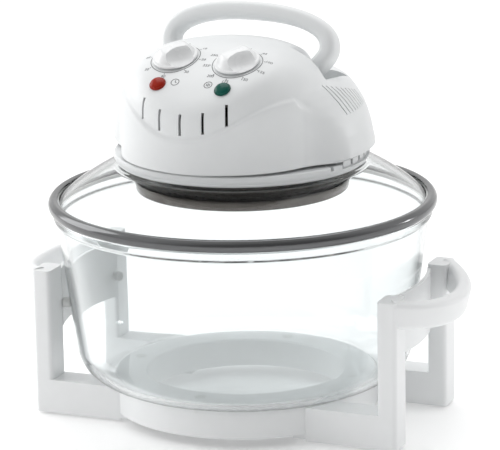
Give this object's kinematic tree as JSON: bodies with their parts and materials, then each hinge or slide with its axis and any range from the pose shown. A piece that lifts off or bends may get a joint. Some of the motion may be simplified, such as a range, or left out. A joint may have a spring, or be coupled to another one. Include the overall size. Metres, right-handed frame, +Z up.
{
  "type": "halogen oven",
  "caption": "Countertop halogen oven: glass bowl on a white two-handled stand, glass lid with a white heating head, dial panel and carry handle.",
  "frame": {"origin": "on the bowl's axis, at the table under the stand's feet", "axes": "+X to the right hand grip, +Y to the rear, -Y to the control panel's side, +Z up"},
  "size_m": [0.3974, 0.33, 0.3497],
  "materials": {
    "white_plastic": "glossy moulded, cool white",
    "knob_plastic": "glossy moulded, cool white",
    "clear_glass": "clear, tempered",
    "band_steel": "rolled, bright",
    "dark_steel": "heat-darkened",
    "bright_steel": "plain",
    "chrome_wire": "plated wire",
    "reflector": "bright sheet",
    "silicone": "matt",
    "dark_rubber": "matt",
    "quartz": "clear quartz",
    "ceramic": "matt ceramic",
    "mineral_fibre": "pressed fibre board",
    "lamination": "varnished sheet stack",
    "black_plastic": "matt",
    "red_plastic": "matt",
    "beige_plastic": "matt",
    "brass_steel": "passivated sheet",
    "red_lens": "translucent red",
    "green_lens": "translucent green"
  },
  "bodies": {
    "stand": {"base_ring": "white_plastic", "left_handle_frame": "white_plastic", "right_handle_frame": "white_plastic", "bowl_seat_pads": "silicone", "bowl_bumpers": "silicone", "rubber_feet": "dark_rubber", "frame_screws": "bright_steel"},
    "bowl": {"glass_bowl": "clear_glass"},
    "head": {"lid_glass": "clear_glass", "rim_band": "band_steel", "rim_seal": "silicone", "collar_gasket": "silicone", "collar_housing": "white_plastic", "clamp_ring": "dark_steel", "clamp_screws": "bright_steel", "upper_housing": "white_plastic", "housing_screws": "bright_steel", "perforated_guard": "dark_steel", "pan_ring": "dark_steel", "fan_grille": "chrome_wire", "reflector_pan": "reflector", "halogen_tube": "quartz", "tube_holders": "ceramic", "insulation_disc": "mineral_fibre", "motor_plate": "bright_steel", "motor_stator": "lamination", "motor_bracket": "bright_steel", "thermal_cutout": "beige_plastic", "mechanical_timer": "beige_plastic", "thermostat": "brass_steel", "power_lamp_lens": "red_lens", "heat_lamp_lens": "green_lens", "lamp_holders": "beige_plastic", "handle_pins": "bright_steel", "safety_switch": "black_plastic", "terminal_block": "beige_plastic", "cord_gland": "white_plastic"},
    "rotor": {"drive_shaft": "bright_steel", "convection_fan": "reflector", "motor_rotor": "bright_steel", "cooling_fan": "black_plastic"},
    "timer": {"timer_knob": "knob_plastic", "timer_spindle": "bright_steel"},
    "temperature": {"temperature_knob": "knob_plastic", "thermostat_spindle": "bright_steel"},
    "handle": {"carry_handle": "white_plastic"},
    "plunger": {"switch_plunger": "red_plastic"}
  },
  "joints": [
    {"name": "bowl_lift", "type": "slide", "parent": "stand", "child": "bowl", "axis": [0, 0, 1], "range_m": [0, 0.2]},
    {"name": "lid_lift", "type": "slide", "parent": "bowl", "child": "head", "axis": [0, 0, 1], "range_m": [0, 0.25]},
    {"name": "fan_spin", "type": "hinge", "parent": "head", "child": "rotor", "pos_m": [0, 0, 0.24], "axis": [0, 0, 1], "continuous": true},
    {"name": "timer_turn", "type": "hinge", "parent": "head", "child": "timer", "pos_m": [-0.03266, -0.05987, 0.3162], "axis": [0.0258, 0.3695, -0.9289], "range_deg": [0, 300]},
    {"name": "temperature_turn", "type": "hinge", "parent": "head", "child": "temperature", "pos_m": [0.02401, -0.06383, 0.3162], "axis": [0.0258, 0.3695, -0.9289], "range_deg": [0, 280]},
    {"name": "handle_fold", "type": "hinge", "parent": "head", "child": "handle", "pos_m": [0.0007, 0.00998, 0.2902], "axis": [-0.9976, 0.0698, 0], "range_deg": [0, 45]},
    {"name": "plunger_press", "type": "slide", "parent": "head", "child": "plunger", "axis": [0, 0, -1], "range_m": [0, 0.0026]}
  ],
  "couplings": [
    {"joint": "plunger_press", "follows": "handle_fold", "m_per_rad": 0.0033}
  ]
}
